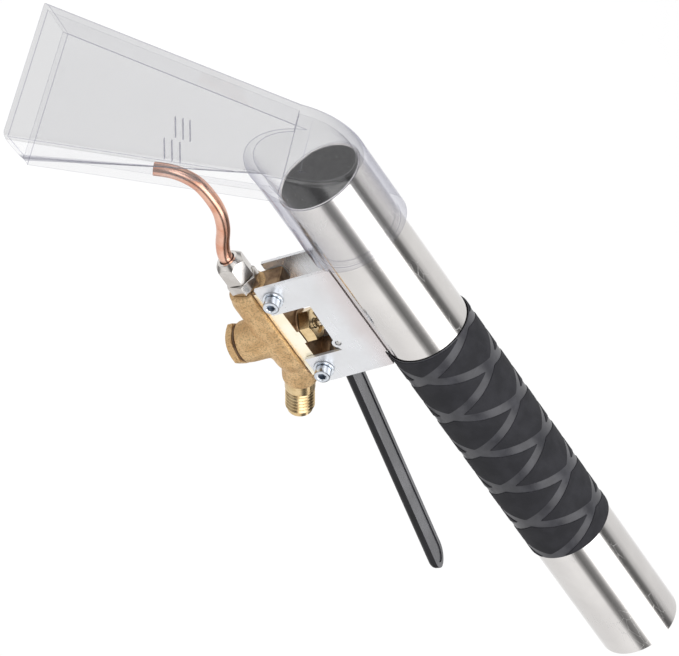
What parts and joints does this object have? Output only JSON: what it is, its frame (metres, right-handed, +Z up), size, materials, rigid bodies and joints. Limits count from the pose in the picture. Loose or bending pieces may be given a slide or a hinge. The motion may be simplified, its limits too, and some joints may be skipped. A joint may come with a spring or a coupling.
{
  "type": "carpet extraction hand tool",
  "caption": "Stainless carpet-cleaning hand wand with clear suction head, trigger-operated brass spray valve, copper spray tube and textured black grip.",
  "frame": {"origin": "centre of the bounding box at the level of the suction mouth", "axes": "+X along the wand towards the hose end, +Z up with the valve and trigger below the wand, Y across it"},
  "size_m": [0.3906, 0.0806, 0.1076],
  "materials": {
    "stainless": "brushed along the tube",
    "bracket_sheet": "satin sheet",
    "zinc_screw": "bright zinc plate",
    "clear_plastic": "clear, moulded",
    "grip_rubber": "matte with semi-gloss bands",
    "lever_vinyl": "dipped, glossy",
    "brass": "cast, machined flats",
    "nickel": "nickel plate",
    "copper": null,
    "seal_rubber": "matte",
    "fibre": "pressed fibre"
  },
  "bodies": {
    "wand": {"wand_tube": "stainless", "clear_head": "clear_plastic", "grip_sleeve": "grip_rubber", "bracket_plate_left": "bracket_sheet", "bracket_plate_right": "bracket_sheet", "bracket_screw_1": "zinc_screw", "bracket_screw_2": "zinc_screw", "bracket_screw_3": "zinc_screw", "bracket_screw_4": "zinc_screw", "screw_washer_1": "zinc_screw", "screw_washer_2": "zinc_screw", "screw_washer_3": "zinc_screw", "screw_washer_4": "zinc_screw", "valve_body": "brass", "valve_end_cap": "brass", "cap_gasket": "fibre", "valve_spring": "stainless", "stem_o_ring": "seal_rubber", "packing_nut": "brass", "outlet_connector": "nickel", "compression_nut": "nickel", "compression_ferrule": "brass", "spray_tube": "copper", "spray_tip": "brass", "pivot_pin": "bracket_sheet"},
    "trigger": {"trigger_lever": "bracket_sheet", "lever_coat": "lever_vinyl"},
    "stem": {"valve_stem": "stainless", "poppet_seal": "seal_rubber"}
  },
  "joints": [
    {"name": "trigger_hinge", "type": "hinge", "parent": "wand", "child": "trigger", "pos_m": [-0.0164, 0, 0.0493], "axis": [0, -1, 0], "range_deg": [0, 10], "stiffness_Nm_per_rad": 0.36, "springref_deg": -33.23},
    {"name": "stem_slide", "type": "slide", "parent": "wand", "child": "stem", "axis": [0, 0, -1], "range_m": [0, 0.00125], "deforming": ["valve_spring"]}
  ],
  "couplings": [
    {"joint": "stem_slide", "follows": "trigger_hinge", "m_per_rad": 0.007}
  ]
}
